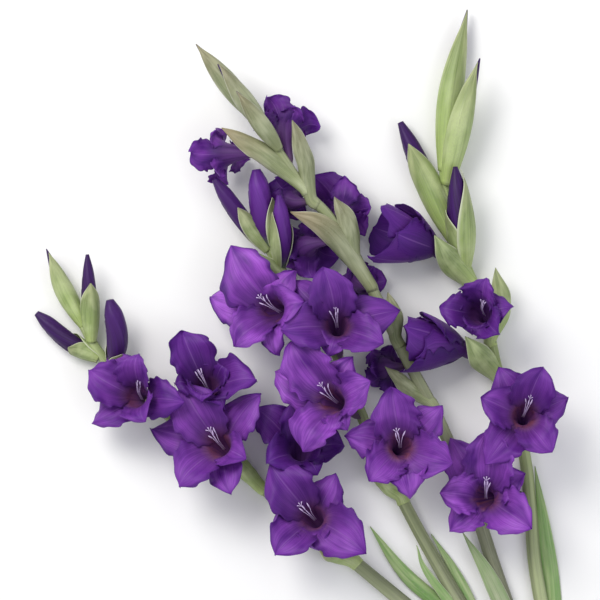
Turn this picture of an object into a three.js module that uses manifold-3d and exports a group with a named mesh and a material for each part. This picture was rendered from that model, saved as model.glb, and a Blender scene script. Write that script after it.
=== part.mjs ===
import * as THREE from "three";
import Module from "manifold-3d";

// Four cut gladiolus spikes lying together as a bunch. Sizes are in millimetres: +Y runs from the cut
// ends to the tips, +X to the right of the bunch, +Z up from the surface that it lies on.

// Driving dimensions
const bunchLength = 771; // from the lowest cut end to the highest tip
const bunchWidth = 571; // across the fan of spikes
const stemRadius = 7; // of a stem at its cut end
const stemTipRadius = 4.4; // of the same stem among its buds
const tubeRadius = 5; // of the narrow tube behind a floret
const throatRadius = 11; // of a floret where its tepals part
const tepalThickness = 1.6;
const tepalLength = 56; // of a middling tepal, from the throat to its tip
const budFullness = 1; // multiplies every bud's width
const bractThickness = 2;
const leafThickness = 2.4;
const bractSink = 0.7; // how far a bract's foot is let into its stem before it is trimmed

// Clearances and fineness
const fitGap = 0.3; // air between two pieces that touch
const stemSides = 10;
const budSides = 9;
const bladeSides = 6;
const budSteps = 6;
const bractSteps = 5;
const leafSteps = 8;
const tepalsPerFloret = 6;

// The places below are drawn for a bunch of this length and width, and the driving sizes stretch them.
const drawnLength = 771;
const drawnWidth = 571;
const drawnTepal = 56;
const lengthScale = bunchLength / drawnLength;
const widthScale = bunchWidth / drawnWidth;
const tepalScale = tepalLength / drawnTepal;
const place = ([x, y, z]) => new THREE.Vector3(x * widthScale, y * lengthScale, z);

// Each stem's middle line, from its cut end up to its last bud.
const stemPaths = {
  left: [
    [209, -403, 7], [80, -296, 7], [0, -230, 7], [-100, -153, 8], [-184, -86, 10], [-213, -55, 12],
    [-229, -27, 13],
  ],
  back: [
    [267, -459, 7], [210, -296, 8], [183, -215, 12], [147, -128, 22], [111, -60, 33], [72, 18, 45],
    [34, 82, 52], [7, 112, 54], [-26, 160, 56], [-44, 185, 57],
  ],
  middle: [
    [242, -437, 7], [155, -296, 8], [110, -215, 10], [71, -136, 14], [37, -55, 18], [-10, 16, 24],
    [-33, 54, 28],
  ],
  right: [
    [284, -462, 7], [251, -296, 7], [244, -220, 7], [235, -152, 7], [210, -79, 8], [194, -10, 9],
    [168, 55, 11], [154, 112, 14], [152, 138, 15],
  ],
};

// Each floret: the stem it grows on and how far along, the middle of its throat, the way it faces, how
// far its tips stand in front of the throat, and each tepal's angle round the throat with its length.
const florets = {
  left_floret_1: {
    on: "left", share: 0.81, throat: [-169, -103, 32], faces: [-0.33, 0.25, 0.91], flare: 28,
    tepals: [[75, 41], [120, 59], [155, 56], [215, 55], [300, 38], [345, 58]],
  },
  left_floret_2: {
    on: "left", share: 0.645, throat: [-97, -94, 26], faces: [-0.1, 0.45, 0.89], flare: 30,
    tepals: [[40, 32], [120, 57], [180, 34], [260, 27], [310, 34], [355, 55]],
  },
  left_floret_3: {
    on: "left", share: 0.575, throat: [-82, -155, 36], faces: [-0.3, 0.28, 0.91], flare: 28,
    tepals: [[50, 70], [120, 72], [165, 78], [225, 60], [285, 59], [330, 41]],
  },
  left_floret_4: {
    on: "left", share: 0.47, throat: [0, -160, 24], faces: [0.1, 0.35, 0.93], flare: 26,
    tepals: [[5, 45], [55, 50], [95, 50], [140, 66], [210, 44], [300, 34]],
  },
  left_floret_5: {
    on: "left", share: 0.355, throat: [15, -230, 38], faces: [-0.15, 0.2, 0.97], flare: 28,
    tepals: [[55, 52], [130, 70], [190, 47], [225, 56], [275, 36], [330, 72]],
  },
  middle_floret_1: {
    on: "middle", share: 0.875, throat: [-24, -12, 50], faces: [-0.45, 0.12, 0.88], flare: 28,
    tepals: [[5, 44], [60, 48], [125, 80], [170, 78], [225, 54], [275, 47]],
  },
  middle_floret_2: {
    on: "middle", share: 0.745, throat: [39, -28, 62], faces: [0, 0.15, 0.99], flare: 28,
    tepals: [[15, 68], [100, 60], [140, 69], [185, 59], [255, 34], [335, 52]],
  },
  middle_floret_3: {
    on: "middle", share: 0.63, throat: [37, -107, 56], faces: [-0.35, 0.12, 0.93], flare: 28,
    tepals: [[15, 51], [60, 52], [120, 72], [155, 72], [245, 60], [300, 35]],
  },
  middle_floret_4: {
    on: "middle", share: 0.54, throat: [105, -154, 58], faces: [0, 0.1, 0.99], flare: 26,
    tepals: [[40, 61], [100, 62], [165, 60], [225, 50], [285, 55], [335, 57]],
  },
  right_floret_1: {
    on: "right", share: 0.835, throat: [133, 57, 24], faces: [-0.82, 0.25, 0.5], flare: 44,
    tepals: [[0, 30], [60, 30], [120, 30], [180, 30], [240, 30], [300, 30]],
  },
  right_floret_2: {
    on: "right", share: 0.7, throat: [191, -15, 40], faces: [-0.4, 0.15, 0.9], flare: 26,
    tepals: [[0, 40], [60, 37], [110, 29], [175, 38], [255, 24], [315, 40]],
  },
  right_floret_3: {
    on: "right", share: 0.65, throat: [160, -50, 26], faces: [-0.86, 0.05, 0.5], flare: 44,
    tepals: [[0, 28], [60, 28], [120, 28], [180, 28], [240, 28], [300, 28]],
  },
  right_floret_4: {
    on: "right", share: 0.515, throat: [234, -122, 50], faces: [0.03, 0.1, 0.99], flare: 26,
    tepals: [[20, 51], [75, 53], [120, 58], [160, 50], [230, 66], [300, 48]],
  },
  right_floret_5: {
    on: "right", share: 0.425, throat: [195, -208, 38], faces: [-0.1, 0.15, 0.98], flare: 26,
    tepals: [[35, 49], [80, 70], [120, 73], [175, 47], [225, 52], [325, 61]],
  },
  back_floret_1: {
    on: "back", share: 0.915, throat: [-14, 176, 43], faces: [0.15, 0.55, -0.8], flare: 22,
    tepals: [[0, 33], [65, 27], [115, 42], [175, 37], [230, 38], [290, 25]],
  },
  back_floret_2: {
    on: "back", share: 0.945, throat: [-74, 153, 49], faces: [-0.8, -0.05, -0.6], flare: 20,
    tepals: [[0, 45], [50, 38], [105, 26], [175, 38], [255, 27], [310, 37]],
  },
  back_floret_3: {
    on: "back", share: 0.825, throat: [44, 92, 37.4], faces: [0.3, 0.3, -0.9], flare: 22,
    tepals: [[0, 26], [55, 35], [100, 45], [160, 36], [220, 50], [270, 36]],
  },
  back_floret_4: {
    on: "back", share: 0.79, throat: [8, 57, 40], faces: [-0.35, -0.3, -0.88], flare: 20,
    tepals: [[0, 43], [75, 33], [130, 24], [180, 26], [240, 33], [300, 46]],
  },
  back_floret_5: {
    on: "back", share: 0.705, throat: [65, 18, 26], faces: [0.2, 0.1, -0.97], flare: 16,
    tepals: [[0, 24], [60, 24], [110, 31], [170, 28], [230, 26], [300, 20]],
  },
  back_floret_6: {
    on: "back", share: 0.58, throat: [92, -71, 26.6], faces: [-0.5, -0.1, -0.85], flare: 12,
    tepals: [[0, 30], [60, 30], [120, 22], [180, 18], [240, 22], [300, 28]],
  },
  back_floret_7: {
    on: "back", share: 0.86, throat: [-8, 104, 34], faces: [-0.45, 0.35, -0.8], flare: 18,
    tepals: [[0, 24], [60, 30], [110, 25], [180, 22], [240, 24], [300, 20]],
  },
};

// Each bud: its middle line from its foot to its tip, and its half width at its fullest.
const buds = {
  left_bud_1: { path: [[-228, -28, 13], [-252, 16, 16], [-268, 54, 17]], halfWidth: 9 },
  left_bud_2: { path: [[-220, -44, 15], [-222, 4, 26], [-224, 48, 29]], halfWidth: 8.5 },
  left_bud_3: { path: [[-213, -62, 12], [-244, -44, 10.5], [-279, -14, 9]], halfWidth: 10 },
  left_bud_4: { path: [[-197, -72, 14], [-192, -38, 30], [-200, 0, 38]], halfWidth: 12 },
  back_bud_1: { path: [[-44, 188, 57], [-75, 226, 55], [-109, 268, 50]], halfWidth: 10 },
  back_bud_2: { path: [[-34, 176, 60], [-58, 208, 68], [-86, 246, 66]], halfWidth: 9 },
  back_bud_3: { path: [[-22, 158, 60], [-40, 182, 75], [-66, 217, 82]], halfWidth: 8 },
  middle_bud_1: { path: [[-34, 52, 28], [-64, 90, 36], [-90, 127, 40]], halfWidth: 10 },
  middle_bud_2: { path: [[-32, 58, 30], [-40, 96, 40], [-46, 137, 44]], halfWidth: 13 },
  middle_bud_3: { path: [[-20, 34, 26], [-19, 74, 50], [-22, 110, 58]], halfWidth: 11 },
  right_bud_1: { path: [[152, 136, 15], [161, 216, 14.5], [176, 307, 10]], halfWidth: 14 },
  right_bud_2: { path: [[155, 122, 18], [170, 190, 34], [189, 254, 38]], halfWidth: 12 },
  right_bud_3: { path: [[163, 62, 12], [136, 122, 13], [106, 188, 12]], halfWidth: 12 },
  right_bud_4: { path: [[174, 34, 12], [168, 84, 32], [163, 140, 40]], halfWidth: 13 },
};

// Each bract: the stem it grows on and how far along that stem, the middle and the tip of its blade, and
// its half width.
const bracts = {
  left_bract_1: { on: "left", share: 0.795, blade: [[-172, -106, 19], [-200, -90, 19]], halfWidth: 9 },
  left_bract_2: { on: "left", share: 0.547, blade: [[-62, -176, 21], [-84, -150, 22]], halfWidth: 11 },
  left_bract_3: { on: "left", share: 0.422, blade: [[-4, -210, 18], [-24, -160, 16]], halfWidth: 11 },
  left_bract_4: { on: "left", share: 0.33, blade: [[40, -268, 20], [14, -252, 24]], halfWidth: 12 },
  back_bract_1: { on: "back", share: 0.877, blade: [[5, 146, 64], [-8, 188, 56]], halfWidth: 9 },
  back_bract_2: { on: "back", share: 0.905, blade: [[-38, 152, 66], [-82, 180, 54]], halfWidth: 10 },
  back_bract_3: { on: "back", share: 0.777, blade: [[50, 80, 61], [36, 108, 52]], halfWidth: 10 },
  back_bract_4: { on: "back", share: 0.745, blade: [[32, 72, 62], [-10, 92, 56]], halfWidth: 12 },
  back_bract_5: { on: "back", share: 0.613, blade: [[100, -20, 44], [92, 8, 40]], halfWidth: 8 },
  back_bract_6: { on: "back", share: 0.505, blade: [[116, -94, 34], [90, -70, 36]], halfWidth: 8 },
  middle_bract_1: { on: "middle", share: 0.458, blade: [[92, -196, 20], [76, -164, 24]], halfWidth: 9 },
  middle_bract_2: { on: "middle", share: 0.868, blade: [[-20, 24, 33], [-46, 50, 40]], halfWidth: 9 },
  right_bract_1: { on: "right", share: 0.795, blade: [[160, 48, 22], [138, 66, 34]], halfWidth: 10 },
  right_bract_2: { on: "right", share: 0.682, blade: [[213, -10, 22], [206, 34, 24]], halfWidth: 10 },
  right_bract_3: { on: "right", share: 0.625, blade: [[196, -62, 22], [176, -36, 30]], halfWidth: 11 },
};

// Each leaf: the stem it grows on and how far along, the middle and the tip of its blade, and its half
// width.
const leaves = {
  left_leaf: { on: "middle", share: 0.16, blade: [[117, -296, 4], [74, -240, 2]], halfWidth: 6 },
  middle_leaf_1: { on: "middle", share: 0.12, blade: [[137, -292, 14], [123, -259, 16]], halfWidth: 4 },
  middle_leaf_2: { on: "middle", share: 0.09, blade: [[168, -296, 4], [139, -248, 2]], halfWidth: 5 },
  back_leaf: { on: "back", share: 0.1, blade: [[204, -300, 17], [172, -246, 15]], halfWidth: 7 },
  right_leaf: { on: "right", share: 0.065, blade: [[266, -296, 4], [249, -176, 2]], halfWidth: 7 },
};

// A floret's narrow foot as a share of its tube, and how much of its flare is reached half way out.
const footShare = 0.8;
const bowlDepth = 0.7;

// Reach of the rim at a tip and on the way to the next tip, as shares of the tepal's length.
const rimShares = [1, 0.84, 0.84];

// Half widths along a body at equal steps from foot to tip, as shares of its greatest half width.
const budShape = [0.45, 0.8, 1, 0.95, 0.7, 0.12];
const bladeShape = [0.6, 0.95, 1, 0.7, 0.12];

const wasm = await Module();
wasm.setup();

// A solid from a list of vectors and a list of corner numbers, three for each triangle.
function solidFrom(points, corners) {
  const vertProperties = new Float32Array(points.flatMap((point) => point.toArray()));
  return new wasm.Manifold(
    new wasm.Mesh({ numProp: 3, vertProperties, triVerts: new Uint32Array(corners) }),
  );
}

// A closed body through equal rings of points, with a middle point closing each end.
function ringedSolid(rings, firstMiddle, lastMiddle) {
  const around = rings[0].length;
  const points = [...rings.flat(), firstMiddle, lastMiddle];
  const firstPole = points.length - 2;
  const lastPole = points.length - 1;
  const lastRing = (rings.length - 1) * around;
  const corners = [];
  for (let side = 0; side < around; side++) {
    const next = (side + 1) % around;
    corners.push(firstPole, next, side);
    corners.push(lastPole, lastRing + side, lastRing + next);
    for (let ring = 0; ring < rings.length - 1; ring++) {
      const low = ring * around;
      const high = low + around;
      corners.push(low + side, low + next, high + next);
      corners.push(low + side, high + next, high + side);
    }
  }
  return solidFrom(points, corners);
}

// The value at share t of the way along a list of equally spaced values.
function along(values, t) {
  const position = t * (values.length - 1);
  const low = Math.min(Math.floor(position), values.length - 2);
  return values[low] + (values[low + 1] - values[low]) * (position - low);
}

// A body along a curve: each ring is an ellipse, widthAt(t) across and heightAt(t) up.
function sweptSolid(curve, widthAt, heightAt, sides, steps) {
  const up = new THREE.Vector3(0, 0, 1);
  const rings = [];
  for (let step = 0; step <= steps; step++) {
    const t = step / steps;
    const middle = curve.getPointAt(t);
    const forward = curve.getTangentAt(t);
    const across = new THREE.Vector3().crossVectors(forward, up).normalize();
    const rise = new THREE.Vector3().crossVectors(forward, across);
    const ring = [];
    for (let side = 0; side < sides; side++) {
      const angle = (2 * Math.PI * side) / sides;
      const point = middle.clone().addScaledVector(across, widthAt(t) * Math.cos(angle));
      ring.push(point.addScaledVector(rise, heightAt(t) * Math.sin(angle)));
    }
    rings.push(ring);
  }
  return ringedSolid(rings, curve.getPointAt(0), curve.getPointAt(1));
}

const curveThrough = (path) => new THREE.CatmullRomCurve3(path.map(place));
const stemPoint = (stem, share) => curveThrough(stemPaths[stem]).getPointAt(share);
const stemRadiusAt = (t) => stemRadius + (stemTipRadius - stemRadius) * t;

function stemSolid(path, grow) {
  const radiusAt = (t) => stemRadiusAt(t) + grow;
  return sweptSolid(curveThrough(path), radiusAt, radiusAt, stemSides, 2 * (path.length - 1));
}

function budSolid({ path, halfWidth }, grow) {
  const radiusAt = (t) => halfWidth * budFullness * along(budShape, t) + grow;
  return sweptSolid(curveThrough(path), radiusAt, radiusAt, budSides, budSteps);
}

// A flat blade from a stem out to its tip. Its foot stands `lift` above the stem's middle line.
function bladeSolid({ on, share, blade, halfWidth }, lift, thickness, steps, grow) {
  const foot = stemPoint(on, share);
  foot.z += lift;
  const curve = new THREE.CatmullRomCurve3([foot, ...blade.map(place)]);
  const widthAt = (t) => halfWidth * along(bladeShape, t) + grow;
  return sweptSolid(curve, widthAt, () => thickness / 2 + grow, bladeSides, steps);
}

// A bract sits on top of its stem.
function bractSolid(bract, grow) {
  const lift = stemRadiusAt(bract.share) + bractThickness / 2 - bractSink;
  return bladeSolid(bract, lift, bractThickness, bractSteps, grow);
}

// A leaf comes out of the stem's side.
function leafSolid(leaf, grow) {
  return bladeSolid(leaf, 0, leafThickness, leafSteps, grow);
}

// How far a floret's rim reaches at each of its points: out to every tip and in to the notch between.
function rimReaches(tepals) {
  const reaches = [];
  for (let index = 0; index < tepalsPerFloret; index++) {
    const [angle, length] = tepals[index];
    const [nextAngle, nextLength] = tepals[(index + 1) % tepalsPerFloret];
    const turn = (nextAngle - angle + 360) % 360;
    for (let part = 0; part < rimShares.length; part++) {
      const share = part / rimShares.length;
      reaches.push({
        angle: THREE.MathUtils.degToRad(angle + turn * share),
        length: (length + (nextLength - length) * share) * rimShares[part] * tepalScale,
      });
    }
  }
  return reaches;
}

// A floret is one funnel: a narrow tube from the stem that widens at the throat into six joined tepals.
function floretSolid({ on, share, throat, faces, flare, tepals }, grow) {
  const start = stemPoint(on, share);
  const middle = place(throat);
  const facing = new THREE.Vector3(...faces).normalize();
  const tubeWay = middle.clone().sub(start);
  const halfway = start.clone().addScaledVector(tubeWay, 0.5);
  const bend = tubeWay.clone().normalize().add(facing).normalize();
  const reaches = rimReaches(tepals);
  const side = new THREE.Vector3(1, 0, 0);
  const ringAround = (centre, normal, radiusAt, lift) => {
    const across = side.clone().addScaledVector(normal, -side.dot(normal)).normalize();
    const over = new THREE.Vector3().crossVectors(normal, across);
    return reaches.map((reach) =>
      centre.clone()
        .addScaledVector(across, radiusAt(reach) * Math.cos(reach.angle))
        .addScaledVector(over, radiusAt(reach) * Math.sin(reach.angle))
        .addScaledVector(normal, lift),
    );
  };
  const bowl = (reach) => (throatRadius + reach.length) / 2;
  const rim = (reach) => reach.length + grow;
  // A steep rim needs more air along the way it faces to clear a neighbour by the same gap.
  const half = tepalThickness / 2 + grow * (1 + flare / tepalLength);
  const rings = [
    ringAround(start, tubeWay.clone().normalize(), () => tubeRadius * footShare + grow, 0),
    ringAround(halfway, bend, () => tubeRadius + grow, 0),
    ringAround(middle, facing, () => throatRadius + grow, -half),
    ringAround(middle, facing, (reach) => bowl(reach) + grow, flare * bowlDepth - half),
    ringAround(middle, facing, rim, flare - half),
    ringAround(middle, facing, rim, flare + half),
    ringAround(middle, facing, (reach) => bowl(reach) - grow, flare * bowlDepth + half),
    ringAround(middle, facing, () => throatRadius - tepalThickness - grow, half),
  ];
  return ringedSolid(rings, start, halfway.clone().addScaledVector(bend, tubeRadius));
}

// The heaviest piece of a solid that trimming has parted.
function heaviest(solid) {
  const parts = solid.decompose();
  return parts.reduce((best, part) => (part.volume() > best.volume() ? part : best));
}

const finishes = {
  stem: { color: 0x8c9180, roughness: 0.6, metalness: 0 },
  floret: { color: 0x6a2a9a, roughness: 0.55, metalness: 0 },
  bud: { color: 0x4c6a3c, roughness: 0.6, metalness: 0 },
  bract: { color: 0x9aa86a, roughness: 0.6, metalness: 0 },
  leaf: { color: 0x6f9a52, roughness: 0.6, metalness: 0 },
};

function boxesMeet(first, second) {
  const a = first.boundingBox();
  const b = second.boundingBox();
  return [0, 1, 2].every((axis) => a.min[axis] < b.max[axis] && b.min[axis] < a.max[axis]);
}

// Every piece is trimmed by the pieces already placed, each swollen by the fit gap: stems stay whole,
// then come buds, florets, bracts and leaves.
const placed = [];
const bunch = new THREE.Group();
bunch.name = "cut_gladioli";

function addPiece(name, finish, solidAt) {
  const trimmed = placed.reduce(
    (solid, other) => (boxesMeet(solid, other.swollen) ? solid.subtract(other.swollen) : solid),
    solidAt(0),
  );
  const solid = heaviest(trimmed);
  placed.push({ name, swollen: solidAt(fitGap) });
  const made = solid.getMesh();
  const geometry = new THREE.BufferGeometry();
  geometry.setAttribute("position", new THREE.BufferAttribute(made.vertProperties, 3));
  geometry.setIndex(new THREE.BufferAttribute(made.triVerts, 1));
  const mesh = new THREE.Mesh(geometry, new THREE.MeshStandardMaterial(finishes[finish]));
  mesh.name = name;
  bunch.add(mesh);
}

for (const [side, path] of Object.entries(stemPaths)) {
  addPiece(`${side}_stem`, "stem", (grow) => stemSolid(path, grow));
}
for (const [name, bud] of Object.entries(buds)) {
  addPiece(name, "bud", (grow) => budSolid(bud, grow));
}
for (const [name, floret] of Object.entries(florets)) {
  addPiece(name, "floret", (grow) => floretSolid(floret, grow));
}
for (const [name, bract] of Object.entries(bracts)) {
  addPiece(name, "bract", (grow) => bractSolid(bract, grow));
}
for (const [name, leaf] of Object.entries(leaves)) {
  addPiece(name, "leaf", (grow) => leafSolid(leaf, grow));
}

// The part's origin is the middle of the underside of its box.
const box = new THREE.Box3().setFromObject(bunch);
const centre = box.getCenter(new THREE.Vector3());
bunch.position.set(-centre.x, -centre.y, -box.min.z);

export default bunch;
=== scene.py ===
import bpy
import numpy as np
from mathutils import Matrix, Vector


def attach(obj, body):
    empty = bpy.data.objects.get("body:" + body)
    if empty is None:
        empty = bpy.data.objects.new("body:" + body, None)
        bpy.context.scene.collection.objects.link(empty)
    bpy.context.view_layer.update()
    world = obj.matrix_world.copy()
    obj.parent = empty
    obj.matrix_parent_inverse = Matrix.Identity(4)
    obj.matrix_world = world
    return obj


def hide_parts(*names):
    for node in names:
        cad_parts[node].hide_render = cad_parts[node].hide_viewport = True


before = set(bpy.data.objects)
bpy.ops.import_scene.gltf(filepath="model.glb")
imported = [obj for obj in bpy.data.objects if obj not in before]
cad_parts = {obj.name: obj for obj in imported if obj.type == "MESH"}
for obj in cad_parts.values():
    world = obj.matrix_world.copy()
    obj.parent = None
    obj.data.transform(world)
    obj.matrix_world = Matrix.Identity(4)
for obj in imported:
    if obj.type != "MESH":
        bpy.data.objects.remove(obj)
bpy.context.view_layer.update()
print("stage: frame loaded")

# Lengths are in millimetres from the middle of the fan of flowers as seen from above: +Y towards the tips,
# +Z up from the surface. `shift` carries them to the frame's origin.
mm = 0.001
shift = np.array([-5.56, 78.04, -0.34])
rng = np.random.default_rng(11)
fullTurn = 2 * np.pi


def unit(vectors):
    # v / |v| along the last axis
    return vectors / np.linalg.norm(vectors, axis=-1, keepdims=True)


def along(values, t):
    # Catmull-Rom value at share t of the way along equally spaced values a, b, c, d:
    # half of 2b + (c - a)f + (2a - 5b + 4c - d)f^2 + (3b - a - 3c + d)f^3
    values = np.asarray(values, float)
    ends = np.concatenate([2 * values[:1] - values[1:2], values, 2 * values[-1:] - values[-2:-1]])
    at = np.clip(t, 0, 1) * (len(values) - 1)
    low = np.minimum(at.astype(int), len(values) - 2)
    f = (at - low).reshape(at.shape + (1,) * (values.ndim - 1))
    a, b, c, d = (ends[low + step] for step in range(4))
    return 0.5 * (2 * b + (c - a) * f + (2 * a - 5 * b + 4 * c - d) * f**2 + (3 * b - a - 3 * c + d) * f**3)


def evenPath(points, count):
    # the curve through the points, cut into steps of equal length
    fine = along(points, np.linspace(0, 1, 600))
    gone = np.r_[0, np.cumsum(np.linalg.norm(np.diff(fine, axis=0), axis=1))]
    even = np.linspace(0, gone[-1], count)
    return np.stack([np.interp(even, gone, fine[:, axis]) for axis in range(3)], axis=1)


def pathFrame(points, up=(0, 0, 1)):
    # with forward the step along the path: across = forward x up, rise = across x forward
    forward = unit(np.gradient(points, axis=0))
    across = unit(np.cross(forward, up))
    return across, np.cross(across, forward)


def smooth(t, start, end):
    # 0 before start, 1 after end, 3x^2 - 2x^3 between
    x = np.clip((t - start) / (end - start), 0, 1)
    return x * x * (3 - 2 * x)


def gridCells(rows, columns, closed):
    # corner numbers and skin coordinates of each cell (row, column) of a grid numbered row by row
    last = columns if closed else columns - 1
    row, column = np.meshgrid(np.arange(rows - 1), np.arange(last), indexing="ij")
    corners = [(row, column), (row, column + 1), (row + 1, column + 1), (row + 1, column)]
    quads = np.stack([down * columns + over % columns for down, over in corners], axis=-1)
    places = [np.stack([over / last, down / (rows - 1)], axis=-1) for down, over in corners]
    skin = np.stack(places, axis=-2)
    return quads.reshape(-1, 4), skin.reshape(-1, 2)


# how pieces rest: the lowest height, and where and within what room the highest petals ease off
restLook = {"lowest": 0.75, "easeFrom": 86.0, "room": 13.0}


def heldLevel(points):
    # pressed flat where a piece meets the surface, and eased under the top of the bunch:
    # z above `easeFrom` becomes easeFrom + room x tanh((z - easeFrom) / room)
    look = restLook
    z = points[:, 2]
    over = np.maximum(z - look["easeFrom"], 0)
    eased = np.minimum(z, look["easeFrom"]) + look["room"] * np.tanh(over / look["room"])
    return np.column_stack([points[:, :2], np.maximum(eased, look["lowest"])])


def meshOf(name, grids, material, flatEnds=False):
    # joins grids into one object, each value spread over its grid; a closed grid's ends are fans of
    # triangles round a middle point
    names = ["across", "along", "tone", "kind", "pith"]
    verts, faces, skins, smooths = [], [], [], []
    values = {key: [] for key in names}
    count = 0
    for grid in grids:
        points = grid["points"]
        rows, columns = points.shape[:2]
        closed = grid.get("closed", False)
        quads, skin = gridCells(rows, columns, closed)
        verts.append(points.reshape(-1, 3))
        faces += (quads + count).tolist()
        skins.append(skin)
        smooths.append(np.ones(len(quads), bool))
        for key in names:
            value = np.broadcast_to(grid.get(key, 0.0), (rows, columns))
            poles = [value[0].mean(), value[-1].mean()] if closed else []
            values[key].append(np.r_[value.reshape(-1), poles])
        if closed:
            values["pith"][-1][-2:] = grid.get("core", 0.0)
            verts.append(np.stack([points[0].mean(axis=0), points[-1].mean(axis=0)]))
            ring = np.arange(columns)
            pole = count + rows * columns
            top = ring + (rows - 1) * columns
            fan = np.vstack([
                np.stack([np.roll(ring, -1) + count, ring + count, np.full(columns, pole)], axis=-1),
                np.stack([top + count, np.roll(top, -1) + count, np.full(columns, pole + 1)], axis=-1),
            ])
            faces += fan.tolist()
            skins.append(np.tile([[0.5, 0.0]], (columns * 3, 1)))
            skins.append(np.tile([[0.5, 1.0]], (columns * 3, 1)))
            smooths.append(np.full(2 * columns, not flatEnds))
        count = sum(len(block) for block in verts)
    mesh = bpy.data.meshes.new(name)
    mesh.from_pydata((heldLevel(np.vstack(verts)) + shift) * mm, [], faces)
    mesh.polygons.foreach_set("use_smooth", np.concatenate(smooths))
    layer = mesh.uv_layers.new(name="skin")
    layer.data.foreach_set("uv", np.vstack(skins).reshape(-1).astype(np.float32))
    for key in names:
        attribute = mesh.attributes.new(key, "FLOAT", "POINT")
        attribute.data.foreach_set("value", np.concatenate(values[key]).astype(np.float32))
    mesh.materials.append(material)
    mesh.update()
    made = bpy.data.objects.new(name, mesh)
    bpy.context.scene.collection.objects.link(made)
    return made


def thicken(made, thickness):
    # gives a thin sheet two faces and a rim, half its thickness to each side
    shell = made.modifiers.new("thickness", "SOLIDIFY")
    shell.thickness = thickness * mm
    shell.offset = 0
    return made


def tubeGrid(points, radii, sides, wobble=0.0, up=(0, 0, 1), **values):
    # ring at each point: radius x (cos a across - sin a rise), a going round
    across, rise = pathFrame(points, up)
    angle = np.linspace(0, fullTurn, sides, endpoint=False)
    reach = np.asarray(radii).reshape(-1, 1) * (1 + wobble)
    ring = reach[..., None] * (
        np.cos(angle)[None, :, None] * across[:, None] - np.sin(angle)[None, :, None] * rise[:, None]
    )
    return dict(points=points[:, None] + ring, closed=True, **values)


def finishPiece(made, slot, *nodes):
    # the piece moves with the bunch, and stands for the nodes it is given
    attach(made, "root")
    if nodes:
        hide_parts(*nodes)
    return made


def linear(code):
    # an sRGB hex colour in linear light: c / 12.92, or ((c + 0.055) / 1.055)^2.4 above 0.04045
    channel = np.array([int(code[place:place + 2], 16) for place in (1, 3, 5)]) / 255
    light = np.where(channel > 0.04045, ((channel + 0.055) / 1.055) ** 2.4, channel / 12.92)
    return (*light.tolist(), 1.0)


def fill(tree, node, inputs):
    # a node's inputs set to values or linked to sockets
    for key, value in inputs.items():
        if isinstance(value, bpy.types.NodeSocket):
            tree.links.new(value, node.inputs[key])
        else:
            node.inputs[key].default_value = value


def addNode(tree, kind, inputs=None, **settings):
    # a node with its settings and its inputs
    node = tree.nodes.new(kind)
    for key, value in settings.items():
        setattr(node, key, value)
    fill(tree, node, inputs or {})
    return node


def ramp(tree, factor, stops):
    # a colour ramp from (place, hex colour) pairs
    node = addNode(tree, "ShaderNodeValToRGB", {0: factor})
    band = node.color_ramp
    while len(band.elements) > 1:
        band.elements.remove(band.elements[0])
    band.elements[0].position, band.elements[0].color = stops[0][0], linear(stops[0][1])
    for place, code in stops[1:]:
        band.elements.new(place).color = linear(code)
    return node.outputs[0]


def maths(tree, kind, first, second=0.0):
    # one sum on one or two numbers or sockets
    return addNode(tree, "ShaderNodeMath", {0: first, 1: second}, operation=kind).outputs[0]


def blend(tree, kind, factor, first, second):
    # two colours mixed or multiplied by a share
    links = {0: factor, 6: first, 7: second}
    return addNode(tree, "ShaderNodeMix", links, data_type="RGBA", blend_type=kind).outputs[2]


def reading(tree, name):
    # a value kept at each vertex
    return addNode(tree, "ShaderNodeAttribute", attribute_name=name).outputs["Fac"]


def noise(tree, scale, detail=3.0, vector=None):
    # smooth random patches, on the given point or the piece's own space in metres
    links = {"Scale": scale, "Detail": detail}
    if vector is not None:
        links["Vector"] = vector
    return addNode(tree, "ShaderNodeTexNoise", links).outputs["Fac"]


def newMaterial(name):
    # an empty material with its node tree and main shader
    material = bpy.data.materials.new(name)
    material.use_nodes = True
    tree = material.node_tree
    tree.nodes.clear()
    shader = addNode(tree, "ShaderNodeBsdfPrincipled")
    output = addNode(tree, "ShaderNodeOutputMaterial")
    tree.links.new(shader.outputs[0], output.inputs[0])
    return material, tree, shader


def stretched(tree, scales):
    # a point (across, along, tone) scaled on each axis, so that patterns run along the piece
    node = addNode(tree, "ShaderNodeCombineXYZ", {
        0: maths(tree, "MULTIPLY", reading(tree, "across"), scales[0]),
        1: maths(tree, "MULTIPLY", reading(tree, "along"), scales[1]),
        2: maths(tree, "MULTIPLY", reading(tree, "tone"), scales[2]),
    })
    return node.outputs[0]


def between(tree, value, low, high):
    # 0 at low, 1 at high, straight between; low may be the greater
    return addNode(tree, "ShaderNodeMapRange", {0: value, 1: low, 2: high}).outputs[0]


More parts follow.
